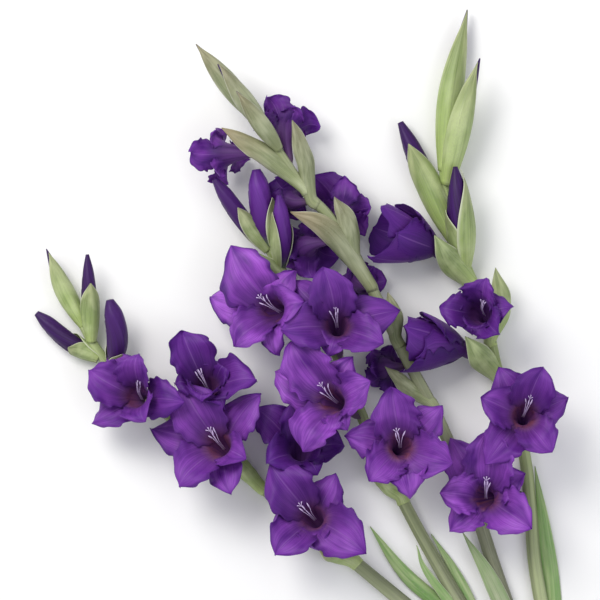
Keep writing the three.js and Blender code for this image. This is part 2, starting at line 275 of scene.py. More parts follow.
def tepalMaterial():
    # violet gladiolus tepal: near black in the tube, warm in the lower throat, violet in the blade
    # lightened by painted highlights in random patches, with fanned veins, a pale rib and darker edges;
    # thin enough to let some light through
    material, tree, shader = newMaterial("violet gladiolus tepal")
    length = reading(tree, "along")
    side = maths(tree, "ABSOLUTE", reading(tree, "across"))
    deep = ramp(tree, length, [
        (0.0, "#6A5A60"), (0.14, "#6A4480"), (0.26, "#5E3478"), (0.34, "#4A2068"), (0.42, "#3F1464"),
        (0.55, "#471670"), (0.7, "#541C80"), (0.85, "#5C228C"), (1.0, "#66289A"),
    ])
    warm = ramp(tree, length, [
        (0.0, "#6A5A60"), (0.15, "#76507A"), (0.24, "#A86470"), (0.32, "#BC6E6C"), (0.4, "#A8709A"),
        (0.5, "#80459E"), (0.7, "#6E2C9A"), (1.0, "#7C36A8"),
    ])
    # bright: the lighter violet of the painted highlights, palest towards the tips
    bright = ramp(tree, length, [
        (0.0, "#6A5A60"), (0.2, "#62387A"), (0.32, "#6A3A88"), (0.45, "#7E40A6"), (0.65, "#B05CD8"),
        (0.88, "#C070E6"), (1.0, "#A04CCC"),
    ])
    colour = blend(tree, "MIX", reading(tree, "kind"), deep, warm)
    patches = noise(tree, 1.0, 2.0, stretched(tree, [1.6, 2.4, 60.0]))
    # painted highlight: random patches of lighter violet, as strong as the piece's tone
    paintedHighlight = maths(tree, "MULTIPLY", between(tree, patches, 0.3, 0.62), reading(tree, "tone"))
    colour = blend(tree, "MIX", paintedHighlight, colour, bright)
    veins = noise(tree, 1.0, 2.0, stretched(tree, [30.0, 1.6, 40.0]))
    fine = noise(tree, 1.0, 1.0, stretched(tree, [85.0, 2.5, 70.0]))
    broadLines = ramp(tree, between(tree, veins, 0.38, 0.6), [(0.0, "#A888C0"), (1.0, "#FFFFFF")])
    colour = blend(tree, "MULTIPLY", 0.45, colour, broadLines)
    fineLines = ramp(tree, between(tree, fine, 0.4, 0.55), [(0.0, "#B8A0CC"), (1.0, "#FFFFFF")])
    colour = blend(tree, "MULTIPLY", 0.3, colour, fineLines)
    blade = between(tree, length, 0.36, 0.55)
    rib = maths(tree, "MULTIPLY", between(tree, side, 0.035, 0.01), blade)
    colour = blend(tree, "MIX", maths(tree, "MULTIPLY", rib, 0.18), colour, linear("#B884D6"))
    edge = maths(tree, "MULTIPLY", between(tree, side, 0.7, 1.0), 0.55)
    colour = blend(tree, "MULTIPLY", edge, colour, linear("#9060B0"))
    relief = maths(tree, "ADD", veins, maths(tree, "MULTIPLY", noise(tree, 700.0, 2.0), 0.35))
    bump = addNode(tree, "ShaderNodeBump", {"Strength": 0.35, "Distance": 0.0006, "Height": relief})
    fill(tree, shader, {
        "Base Color": colour, "Normal": bump.outputs[0], "Roughness": 0.46, "IOR": 1.4,
        "Specular IOR Level": 0.35, "Sheen Weight": 0.22, "Sheen Roughness": 0.4,
        "Sheen Tint": linear("#C080F0"),
    })
    output = next(node for node in tree.nodes if node.type == "OUTPUT_MATERIAL")
    through = addNode(tree, "ShaderNodeBsdfTranslucent", {
        "Color": blend(tree, "MIX", 0.5, colour, linear("#A03CD8")), "Normal": bump.outputs[0],
    })
    mixed = addNode(tree, "ShaderNodeMixShader", {0: 0.22, 1: shader.outputs[0], 2: through.outputs[0]})
    tree.links.new(mixed.outputs[0], output.inputs[0])
    return material


def greenMaterial(name, greyStops, freshStops, blushCode, veinScale, roughness):
    # waxy plant tissue: grey to fresh green that changes along the piece, fine veins along it, painted
    # highlights in paler patches, greyer bloom in patches, a pale margin that is partly a painted edge
    # highlight, a brown blush towards the tip and pale pith where it is cut
    material, tree, shader = newMaterial(name)
    length = reading(tree, "along")
    side = maths(tree, "ABSOLUTE", reading(tree, "across"))
    grey, fresh = ramp(tree, length, greyStops), ramp(tree, length, freshStops)
    colour = blend(tree, "MIX", reading(tree, "tone"), grey, fresh)
    veins = noise(tree, 1.0, 2.0, stretched(tree, [veinScale, 1.2, 37.0]))
    lineStops = [(0.0, "#8C9C74"), (0.6, "#F4F6E8"), (1.0, "#FFFFFF")]
    lines = ramp(tree, between(tree, veins, 0.36, 0.62), lineStops)
    colour = blend(tree, "MULTIPLY", 0.42, colour, lines)
    # painted highlights: paler patches standing in for light on the waxy skin
    patches = noise(tree, 1.0, 2.0, stretched(tree, [1.5, 3.2, 53.0]))
    pale = blend(tree, "MIX", reading(tree, "tone"), linear("#B4B89C"), linear("#C6D49A"))
    paintedHighlightPatches = maths(tree, "MULTIPLY", between(tree, patches, 0.42, 0.7), 0.6)
    colour = blend(tree, "MIX", paintedHighlightPatches, colour, pale)
    bloom = noise(tree, 45.0, 3.0)
    dull = maths(tree, "MULTIPLY", between(tree, bloom, 0.45, 0.75), 0.4)
    colour = blend(tree, "MIX", dull, colour, linear("#8E927C"))
    reach = between(tree, maths(tree, "ADD", length, maths(tree, "MULTIPLY", patches, 0.5)), 0.75, 1.25)
    blush = maths(tree, "MULTIPLY", reading(tree, "kind"), reach)
    colour = blend(tree, "MIX", blush, colour, linear(blushCode))
    # pale margin: partly the real margin's paler colour, partly a painted highlight along the edge
    edge = maths(tree, "MULTIPLY", between(tree, side, 0.86, 0.98), 0.6)
    colour = blend(tree, "MIX", edge, colour, linear("#DADCC8"))
    colour = blend(tree, "MIX", reading(tree, "pith"), colour, linear("#D9DDB4"))
    bump = addNode(tree, "ShaderNodeBump", {"Strength": 0.45, "Distance": 0.0006, "Height": veins})
    fill(tree, shader, {
        "Base Color": colour, "Normal": bump.outputs[0], "Roughness": roughness, "IOR": 1.45,
    })
    return material


def budPetalMaterial():
    # furled tepals: near-black violet with lighter folds
    material, tree, shader = newMaterial("furled violet tepal")
    dark = ramp(tree, reading(tree, "along"), [
        (0.0, "#6E8A4C"), (0.22, "#301640"), (0.35, "#1E0630"), (0.8, "#260A3E"), (1.0, "#220838"),
    ])
    light = ramp(tree, reading(tree, "along"), [
        (0.0, "#6E8A4C"), (0.15, "#4A2068"), (0.35, "#541E7C"), (0.8, "#6A2C98"), (1.0, "#54207E"),
    ])
    colour = blend(tree, "MIX", reading(tree, "kind"), dark, light)
    veins = noise(tree, 1.0, 2.0, stretched(tree, [9.0, 1.6, 31.0]))
    mask = maths(tree, "MULTIPLY", between(tree, veins, 0.42, 0.7), 0.5)
    colour = blend(tree, "MIX", mask, colour, linear("#461870"))
    bump = addNode(tree, "ShaderNodeBump", {"Strength": 0.3, "Distance": 0.0005, "Height": veins})
    fill(tree, shader, {
        "Base Color": colour, "Normal": bump.outputs[0], "Roughness": 0.5, "Specular IOR Level": 0.3,
    })
    return material


def plainMaterial(name, code, roughness):
    # one colour with a faint paler grain, for threads too fine to show more
    material, tree, shader = newMaterial(name)
    colour = blend(tree, "MIX", noise(tree, 700.0, 2.0), linear(code), linear("#FFFFFF"))
    faint = blend(tree, "MIX", 0.25, linear(code), colour)
    fill(tree, shader, {"Base Color": faint, "Roughness": roughness})
    return material


materials = {
    "tepal": tepalMaterial(),
    "furled": budPetalMaterial(),
    "stem": greenMaterial("grey-green gladiolus stem", [
        (0.0, "#706F64"), (0.3, "#747562"), (0.6, "#777A5E"), (1.0, "#808466"),
    ], [
        (0.0, "#7E7D6E"), (0.3, "#87906C"), (0.55, "#8E9E66"), (0.8, "#98AC6A"), (1.0, "#A6BA74"),
    ], "#B08A5A", 7.0, 0.5),
    "bract": greenMaterial("grey-green bract", [
        (0.0, "#8E946E"), (0.3, "#828868"), (0.7, "#787B60"), (1.0, "#6E6C56"),
    ], [
        (0.0, "#B8CC7C"), (0.25, "#A3BA6C"), (0.6, "#8BA05F"), (1.0, "#7C8E5C"),
    ], "#937657", 15.0, 0.48),
    "leaf": greenMaterial("green leaf blade", [
        (0.0, "#8C9E78"), (1.0, "#87A06C"),
    ], [
        (0.0, "#86A468"), (0.35, "#6C9A4C"), (1.0, "#85AC62"),
    ], "#B08A5A", 12.0, 0.42),
    "stamen": plainMaterial("pale lilac anther", "#BFA4D6", 0.6),
}
print("stage: materials made")

# stems: radii at the cut end and the tip, sides and step of the mesh, and fine ribs along them
stemLook = {
    "radius": 8.0, "tipRadius": 5.0, "sides": 28, "stepMm": 3.0,
    "ribs": 9, "ribDepth": 0.03, "unevenness": 0.02,
}

# each stem's middle line from its cut end to its tip
stemPaths = {
    "left": [
        [209, -403, 7], [80, -296, 7], [0, -230, 7], [-100, -153, 8], [-184, -86, 10], [-213, -55, 12],
        [-229, -27, 13],
    ],
    "back": [
        [267, -459, 7], [210, -296, 8], [183, -215, 12], [147, -128, 22], [111, -60, 33], [72, 18, 45],
        [34, 82, 52], [7, 112, 54], [-26, 160, 56], [-44, 185, 57],
    ],
    "middle": [
        [242, -437, 7], [155, -296, 8], [110, -215, 10], [71, -136, 14], [37, -55, 18], [-10, 16, 24],
        [-33, 54, 28],
    ],
    "right": [
        [284, -462, 7], [251, -296, 7], [244, -220, 7], [235, -152, 7], [210, -79, 8], [194, -10, 9],
        [168, 55, 11], [154, 112, 14], [152, 138, 15],
    ],
}

# how fresh a green each spike is, from grey (0) to bright (1)
freshness = {"left": 0.75, "back": 0.1, "middle": 0.55, "right": 0.85}


def freshTone(name):
    # how fresh a green the named piece's spike is, varied a little from piece to piece
    return freshness[name.split("_")[0]] + rng.uniform(-0.1, 0.1)


def stemPoint(name, share):
    # the place at a share of a stem's length, to a four-hundredth
    return evenPath(stemPaths[name], 401)[int(round(share * 400))]


def stemRadiusAt(share):
    # falls evenly from the cut end to the tip
    return stemLook["radius"] + (stemLook["tipRadius"] - stemLook["radius"]) * share


# tepals: mesh counts, the tube and throat, their width and folds, how calm and narrow those of a floret
# seen from behind are, and for the two rings of three: outline from throat to tip, width, cup, curl, lift
# and the layer they lie in
tepalLook = {
    "columns": 25, "tubeRows": 10, "bladeRows": 36, "thickness": 0.45,
    "tubeRadius": 4.4, "tubeShape": [0.05, 0.8, 0.95, 1.25, 1.8], "throatRadius": 11.0, "tubeShare": 0.3,
    "tubeRoot": 0.8, "tubeOutside": [0.8, 0.85, 1.05, 1.35, 1.85], "throatWidth": 0.55,
    "widthShare": 0.43, "widthBase": 27,
    "spill": 1.06, "ruffle": 3.8, "frill": 1.5, "nibble": 0.07, "roll": 1.6, "pinch": 0.45,
    "crease": 0.7, "groove": 1.1, "grooveWidth": 0.09, "recurve": 0.42, "swayDegrees": 6,
    "awayCalm": 0.7, "awayNarrower": 0.12,
    "innerRing": {
        "outline": [0.66, 0.93, 1.06, 1.02, 0.75, 0.18],
        "width": 1.06, "cup": 0.14, "curl": 0.5, "lift": 1.06, "layer": 1.2,
    },
    "outerRing": {
        "outline": [0.64, 0.91, 1.02, 0.92, 0.6, 0.12],
        "width": 0.98, "cup": -0.06, "curl": 1.2, "lift": 0.94, "layer": -1.2,
    },
}

# how a half-open floret differs, for each unit of its bell: shares off its throat and ruffles, shares added
# to its tube and tepal width, millimetres to its rim, and the powers of its outward and forward curves
bellLook = {
    "throat": 0.3, "calm": 0.4, "tube": 0.25, "width": 0.85, "rim": 2.0,
    "outPower": 2.4, "upPower": 1.1,
}

# Each floret: its stem and how far along it grows, the middle of its throat, the way it faces, how far its
# rim stands in front of the throat, each tepal's angle and length, which tepal is the hood, how much that
# arches forward, and open if its stamens show. tone is how strongly painted highlights lighten its violet,
# warm how red its throat is, bell how closed a half-open one is, and wavy how much more ruffled than usual
# it is.
florets = {
    "left_floret_1": dict(
        on="left", share=0.81, throat=[-169, -103, 32], faces=[-0.33, 0.25, 0.91], flare=28,
        tepals=[[75, 41], [120, 59], [155, 56], [215, 55], [300, 38], [345, 58]], hood=0, arch=0.25,
        open=1, tone=0.4, warm=0.5,
    ),
    "left_floret_2": dict(
        on="left", share=0.645, throat=[-97, -94, 26], faces=[-0.1, 0.45, 0.89], flare=30,
        tepals=[[40, 32], [120, 57], [180, 34], [260, 27], [310, 34], [355, 55]], hood=1, arch=0.2,
        wavy=1.3, open=1, tone=0.2, warm=0.3,
    ),
    "left_floret_3": dict(
        on="left", share=0.575, throat=[-82, -155, 36], faces=[-0.3, 0.28, 0.91], flare=28,
        tepals=[[50, 70], [120, 72], [165, 78], [225, 60], [285, 59], [330, 41]], hood=1, arch=0.25,
        open=1, tone=0.5, warm=0.9,
    ),
    "left_floret_4": dict(
        on="left", share=0.47, throat=[0, -160, 24], faces=[0.1, 0.35, 0.93], flare=26,
        tepals=[[5, 45], [55, 50], [95, 50], [140, 66], [210, 44], [300, 34]], hood=2, arch=0.1,
        tone=0.12,
    ),
    "left_floret_5": dict(
        on="left", share=0.355, throat=[15, -230, 38], faces=[-0.15, 0.2, 0.97], flare=28,
        tepals=[[55, 52], [130, 70], [190, 47], [225, 56], [275, 36], [330, 72]], hood=1, arch=0.3,
        open=1, tone=0.45, warm=0.6,
    ),
    "middle_floret_1": dict(
        on="middle", share=0.875, throat=[-24, -12, 50], faces=[-0.45, 0.12, 0.88], flare=28,
        tepals=[[5, 44], [60, 48], [125, 80], [170, 78], [225, 54], [275, 47]], hood=2, arch=0.1,
        wavy=1.2, open=1, tone=1, warm=0.5,
    ),
    "middle_floret_2": dict(
        on="middle", share=0.745, throat=[39, -28, 62], faces=[0, 0.15, 0.99], flare=28,
        tepals=[[15, 68], [100, 60], [140, 69], [185, 59], [255, 34], [335, 52]], hood=1, arch=0.3,
        open=1, tone=0.4, warm=0.4,
    ),
    "middle_floret_3": dict(
        on="middle", share=0.63, throat=[37, -107, 56], faces=[-0.35, 0.12, 0.93], flare=28,
        tepals=[[15, 51], [60, 52], [120, 72], [155, 72], [245, 60], [300, 35]], hood=2, arch=0.3,
        wavy=1.3, open=1, tone=0.95, warm=1,
    ),
    "middle_floret_4": dict(
        on="middle", share=0.54, throat=[105, -154, 58], faces=[0, 0.1, 0.99], flare=26,
        tepals=[[40, 61], [100, 62], [165, 60], [225, 50], [285, 55], [335, 57]], hood=1, arch=0.2,
        wavy=1.9, open=1, tone=0.6, warm=1,
    ),
    "right_floret_1": dict(
        on="right", share=0.835, throat=[143, 54, 25], faces=[-0.93, 0.3, 0.2], flare=60,
        tepals=[[0, 30], [60, 36], [120, 34], [180, 30], [240, 35], [300, 31]], bell=0.8, wavy=1.6,
        hood=0, arch=0.1, tone=0.12,
    ),
    "right_floret_2": dict(
        on="right", share=0.7, throat=[191, -15, 40], faces=[-0.4, 0.15, 0.9], flare=26,
        tepals=[[0, 40], [60, 37], [110, 29], [175, 38], [255, 24], [315, 40]], hood=1, arch=0.2,
        wavy=1.3, open=1, tone=0.2, warm=0.1,
    ),
    "right_floret_3": dict(
        on="right", share=0.65, throat=[172, -51, 26], faces=[-0.96, 0.12, 0.22], flare=62,
        tepals=[[0, 28], [60, 33], [120, 30], [180, 29], [240, 33], [300, 28]], bell=0.8, wavy=1.6,
        hood=0, arch=0.1, tone=0.1,
    ),
    "right_floret_4": dict(
        on="right", share=0.515, throat=[234, -122, 50], faces=[0.03, 0.1, 0.99], flare=26,
        tepals=[[20, 51], [75, 53], [120, 58], [160, 50], [230, 66], [300, 48]], hood=1, arch=0.2,
        open=1, tone=0.4, warm=0.8,
    ),
    "right_floret_5": dict(
        on="right", share=0.425, throat=[195, -208, 38], faces=[-0.1, 0.15, 0.98], flare=26,
        tepals=[[35, 49], [80, 70], [120, 73], [175, 47], [225, 52], [325, 61]], hood=1, arch=0.2,
        wavy=1.3, open=1, tone=0.9, warm=0.8,
    ),
    "back_floret_1": dict(
        on="back", share=0.915, throat=[-14, 176, 43], faces=[0.15, 0.55, -0.8], flare=22,
        tepals=[[0, 33], [65, 27], [115, 42], [175, 37], [230, 38], [290, 25]], hood=2, arch=0.1,
        tone=0.3,
    ),
    "back_floret_2": dict(
        on="back", share=0.945, throat=[-74, 153, 49], faces=[-0.8, -0.05, -0.6], flare=20,
        tepals=[[0, 45], [50, 38], [105, 26], [175, 38], [255, 27], [310, 37]], hood=3, arch=0.1,
        tone=0.5,
    ),
    "back_floret_3": dict(
        on="back", share=0.825, throat=[44, 92, 37.4], faces=[0.3, 0.3, -0.9], flare=22,
        tepals=[[0, 26], [55, 35], [100, 45], [160, 36], [220, 50], [270, 36]], hood=2, arch=0.1,
        tone=0.3,
    ),
    "back_floret_4": dict(
        on="back", share=0.79, throat=[8, 57, 40], faces=[-0.35, -0.3, -0.88], flare=20,
        tepals=[[0, 43], [75, 33], [130, 24], [180, 26], [240, 33], [300, 46]], hood=2, arch=0.1,
        tone=0.2,
    ),
    "back_floret_5": dict(
        on="back", share=0.705, throat=[65, 18, 26], faces=[0.2, 0.1, -0.97], flare=16,
        tepals=[[0, 24], [60, 24], [110, 31], [170, 28], [230, 26], [300, 20]], hood=2, arch=0.1,
        tone=0.2,
    ),
    "back_floret_6": dict(
        on="back", share=0.58, throat=[92, -71, 26.6], faces=[-0.5, -0.1, -0.85], flare=12,
        tepals=[[0, 30], [60, 30], [120, 22], [180, 18], [240, 22], [300, 28]], hood=2, arch=0.1,
        tone=0.15,
    ),
    "back_floret_7": dict(
        on="back", share=0.86, throat=[-8, 104, 34], faces=[-0.45, 0.35, -0.8], flare=18,
        tepals=[[0, 24], [60, 30], [110, 25], [180, 22], [240, 24], [300, 20]], hood=2, arch=0.1,
        tone=0.2,
    ),
}


def floretFrame(floret):
    # facing, the X axis laid into the plane square to it, and the third axis
    facing = unit(np.array(floret["faces"], float))
    across = unit(np.array([1, 0, 0]) - facing[0] * facing)
    return facing, across, np.cross(facing, across)


def tubeLine(floret, t):
    # Hermite curve from the stem to the throat that ends along the floret's facing, and its direction
    end = np.array(floret["throat"], float)
    start = stemPoint(floret["on"], floret["share"])
    start = start + unit(end - start) * stemRadiusAt(floret["share"]) * tepalLook["tubeRoot"]
    facing = floretFrame(floret)[0]
    length = np.linalg.norm(end - start)
    leave = unit(end - start) * length
    arrive = facing * length
    t = t[:, None]
    point = ((2 * t**3 - 3 * t**2 + 1) * start + (t**3 - 2 * t**2 + t) * leave
             + (3 * t**2 - 2 * t**3) * end + (t**3 - t**2) * arrive)
    slope = ((6 * t**2 - 6 * t) * start + (3 * t**2 - 4 * t + 1) * leave
             + (6 * t - 6 * t**2) * end + (3 * t**2 - 2 * t) * arrive)
    return point, unit(slope)


def tepalGrid(floret, index):
    # Tube rows, t from 0 to 1: tube line + radius (cos a, sin a), a from half way to one neighbour to half
    # way to the other. Blade rows, s from 0 to 1, u from -1 to 1 across, joined to the neighbours near the
    # throat: radius = throat + (length - throat) s^1.3, angle = u x half width / radius,
    # half width = outline(s) (1 - s^9)^0.6 x share x (length / 2 + base), nibbled near its edges,
    # height = flare (lift (1 - (1 - s)^2.1) - curl s^4) + cup |u| width + ruffle |u|^2 sin(waves s)
    # + pinch |u| near the tip + roll sin(5.7 s) + crease cos(16 |u|^0.8) - groove exp(-(u / its width)^2).
    # A half-closed floret (bell) goes straight out, and it and one seen from behind are calmer.
    look = tepalLook
    facing, across, over = floretFrame(floret)
    angle, length = floret["tepals"][index]
    bell = floret.get("bell", 0.0)
    ring = look["innerRing"] if (index - floret["hood"]) % 2 == 0 else look["outerRing"]
    hood = index == floret["hood"]
    u = np.linspace(-1, 1, look["columns"])[None]
    t = np.linspace(0, 1, look["tubeRows"], endpoint=False)
    s = np.linspace(0, 1, look["bladeRows"])[:, None]
    throat = look["throatRadius"] * (1 - bellLook["throat"] * bell)
    away = floret["faces"][2] < 0
    calm = look["awayCalm"] if away else 1 - bellLook["calm"] * bell
    theta = np.radians(angle)
    left = u < 0
    before = (angle - floret["tepals"][index - 1][0]) % 360
    after = (floret["tepals"][(index + 1) % 6][0] - angle) % 360
    half = np.radians(np.where(left, before, after)) / 2 * look["spill"]

    centre, slope = tubeLine(floret, t)
    side = unit(across - (slope @ across)[:, None] * slope)
    rise = np.cross(slope, side)
    tubeBase = look["tubeRadius"] * (1 + bellLook["tube"] * bell)
    tubeRadius = tubeBase * along([*look["tubeShape"], throat / tubeBase], t)
    turn = theta + u * half
    tube = centre[:, None] + tubeRadius[:, None, None] * (
        np.cos(turn)[..., None] * side[:, None] + np.sin(turn)[..., None] * rise[:, None]
    )

    outward = (1 - bell) * s**1.3 + bell * (1 - (1 - s)**bellLook["outPower"])
    radius = throat + (length - throat) * outward
    broad = 1 + bellLook["width"] * bell - (look["awayNarrower"] if away else 0)
    wide = look["widthShare"] * (length / 2 + look["widthBase"]) * ring["width"] * broad
    outline = [throat * look["throatWidth"] / wide, *ring["outline"]]
    width = along(outline, s[:, 0])[:, None] * wide * (1 - s**9)**0.6
    phase = rng.uniform(0, fullTurn, 6)
    waves = rng.uniform(1.2, 2.2, 2)
    frills = rng.uniform(4.0, 6.5, 2)

    def edgeWave(counts, starts):
        # a wave along each edge: sin(turns x count x s + start)
        return np.sin(fullTurn * np.where(left, *counts) * s + np.where(left, *starts))

    wavy = floret.get("wavy", 1.0)
    width = width * (1 + look["nibble"] * wavy * edgeWave(frills, phase[2:4]) * np.abs(u)**3)
    sway = np.radians(rng.uniform(-1, 1) * look["swayDegrees"]) * s**2
    spread = np.maximum(width / radius, half * (1 - smooth(s, 0.22, 0.6)))
    phi = theta + sway + u * spread
    free = smooth(s, 0.12, 0.6) * calm
    ruffle = wavy * look["ruffle"] * rng.uniform(0.6, 1.3) * np.abs(u)**2 * edgeWave(waves, phase[:2])
    frill = wavy * look["frill"] * rng.uniform(0.5, 1.2) * np.abs(u)**3 * edgeWave(frills, phase[4:])
    cup = ring["cup"] + rng.uniform(-0.08, 0.08)
    tilt = rng.uniform(-0.22, 0.22)
    curl = look["recurve"] * ring["curl"] * rng.uniform(0.5, 1.5) * (1 - bell) * calm
    lift = ring["lift"] + (floret["arch"] if hood else rng.uniform(-0.1, 0.06))
    rising = (1 - bell) * (1 - (1 - s)**2.1) + bell * s**bellLook["upPower"]
    height = floret["flare"] * (lift * rising - curl * s**4)
    height = height + (cup * np.abs(u) + tilt * u) * width * free + (ruffle + frill) * free
    pinch = rng.uniform(-1, 1) * look["pinch"] * np.abs(u) * width * smooth(s, 0.5, 1)
    roll = look["roll"] * np.sin(0.9 * fullTurn * s + phase[1])
    height = height + (pinch + roll) * free * calm
    creases = np.cos(2.6 * fullTurn * np.abs(u)**0.8 + phase[0]) * (1 - u**2)
    height = height + look["crease"] * creases * smooth(s, 0.15, 0.5) * (1 - s**2) * calm
    height = height - look["groove"] * np.exp(-(u / look["grooveWidth"])**2) * smooth(s, 0.1, 0.4) * (1 - s)
    height = height + ring["layer"] * smooth(s, 0, 0.2) + bellLook["rim"] * bell * s
    blade = (np.array(floret["throat"], float) + height[..., None] * facing
             + radius[..., None] * (np.cos(phi)[..., None] * across + np.sin(phi)[..., None] * over))

    foot = look["tubeShare"]
    share = np.vstack([t[:, None] * foot, foot + (1 - foot) * s])
    lower = 0.5 - 0.5 * np.cos(theta - np.radians(floret["tepals"][floret["hood"]][0]))
    return dict(points=np.vstack([tube, blade]), across=u, along=share,
                tone=floret["tone"] + rng.uniform(-0.12, 0.12),
                kind=(0.4 + 0.6 * lower) * floret.get("warm", 0))


for name, floret in florets.items():
    made = meshOf(name + "_tepals", [tepalGrid(floret, index) for index in range(6)], materials["tepal"])
    finishPiece(thicken(made, tepalLook["thickness"]), "petal", name)
print("stage: florets made")

# stamens and style: radii of each thread, the anthers' length and how far apart they stand
stamenLook = {
    "filament": 0.32, "anther": 0.68, "antherLength": 7.0, "antherShape": [0.5, 1, 1.1, 0.9, 0.35],
    "style": 0.3, "branch": [0.3, 0.4, 0.75], "branchLength": 5, "spread": 2.8, "depth": 8,
}


def stamenGrids(floret):
    # three filaments with bent anthers and a longer three-tipped style, leaning on the hooded tepal: places
    # are the throat + a forward + b towards the hood + c aside, in millimetres
    look = stamenLook
    facing, across, over = floretFrame(floret)
    theta = np.radians(floret["tepals"][floret["hood"]][0])
    hoodward = np.cos(theta) * across + np.sin(theta) * over
    aside = np.cross(facing, hoodward)
    throat = np.array(floret["throat"], float)
    size = rng.uniform(0.85, 1.1)
    grids = []
    for step in (-1, 0, 1):
        spread = look["spread"] * step * rng.uniform(0.7, 1.4) + rng.uniform(-0.8, 0.8)
        foot = throat - look["depth"] * facing + 1.2 * step * aside
        knee = throat + 6 * facing + 5 * hoodward + 0.5 * spread * aside
        top = throat + size * (13 * facing + (12 + rng.uniform(-2, 2)) * hoodward) + spread * aside
        reach = unit(0.45 * facing + 0.75 * hoodward + rng.uniform(-0.3, 0.3) * aside + 0.3 * step * aside)
        tip = top + look["antherLength"] * rng.uniform(0.8, 1.1) * reach
        line = evenPath([foot, knee, top], 12)
        grids.append(tubeGrid(line, np.full(12, look["filament"]), 6, up=aside))
        anther = evenPath([top, (top + tip) / 2 + 1.1 * facing, tip], 12)
        shape = along(look["antherShape"], np.linspace(0, 1, 12))
        grids.append(tubeGrid(anther, shape * look["anther"], 8, up=aside))
    fork = throat + size * (17 * facing + 18 * hoodward) + rng.uniform(-2, 2) * aside
    stalk = evenPath([throat - look["depth"] * facing, throat + 8 * facing + 7 * hoodward, fork], 14)
    grids.append(tubeGrid(stalk, np.full(14, look["style"]), 6, up=aside))
    for step in (-1, 0, 1):
        tip = fork + look["branchLength"] * unit(0.4 * facing + 0.8 * hoodward + 0.8 * step * aside)
        line = evenPath([fork, (fork + tip) / 2 + 0.6 * facing, tip], 6)
        grids.append(tubeGrid(line, along(look["branch"], np.linspace(0, 1, 6)), 6, up=facing))
    return grids


for side in ("left", "middle", "right"):
    shown = [floret for name, floret in florets.items() if name.startswith(side) and floret.get("open")]
    threads = [grid for floret in shown for grid in stamenGrids(floret)]
    made = meshOf(side + "_stamens", threads, materials["stamen"])
    finishPiece(made, "petal")
print("stage: stamens made")


def stemGrid(name, tone):
    # radius falls evenly from foot to tip, times 1 + depth cos(ribs a) + unevenness sin(9 t)
    look = stemLook
    fine = evenPath(stemPaths[name], 400)
    count = int(np.linalg.norm(np.diff(fine, axis=0), axis=1).sum() / look["stepMm"])
    line = evenPath(stemPaths[name], count)
    t = np.linspace(0, 1, count)
    angle = np.linspace(0, fullTurn, look["sides"], endpoint=False)
    ribs = look["ribDepth"] * np.cos(look["ribs"] * angle)
    wobble = ribs[None] + look["unevenness"] * np.sin(9 * t)[:, None]
    return tubeGrid(line, stemRadiusAt(t), look["sides"], wobble, across=0.8 * np.cos(angle),
                    along=t[:, None], tone=tone, core=1.0)


for name in stemPaths:
    made = meshOf(name + "_cut_stem", [stemGrid(name, freshTone(name))], materials["stem"], flatEnds=True)
    finishPiece(made, "stem", name + "_stem")
print("stage: stems made")

# bracts: mesh counts, thickness, ridge, rippled edge, the degrees they wrap from foot to tip, and how near
# along the stem a floret's tube is when it pushes them aside
bractLook = {
    "columns": 21, "rows": 34, "thickness": 0.6, "keel": 0.9, "keelWidth": 0.12, "ripple": 0.7,
    "clearance": 0.3, "wrap": [150, 125, 90, 70, 52, 40], "nearShare": 0.1, "tubeSteps": 60,
}

# buds: mesh counts, radius from foot to tip, how a blunt one differs, folds and the two wrapping bracts
budLook = {
    "sides": 36, "rows": 34, "profile": [0.4, 0.76, 0.96, 0.97, 0.76, 0.45, 0.06],
    "bluntGain": [0, 0, 0.02, 0.03, 0.2, 0.38, 0.3], "bodyShare": 0.93, "fold": 0.12, "twist": 0.8,
    "skin": 0.8, "wrap": 118, "wrapShape": [1.0, 0.99, 0.93, 0.78, 0.5, 0.02],
}

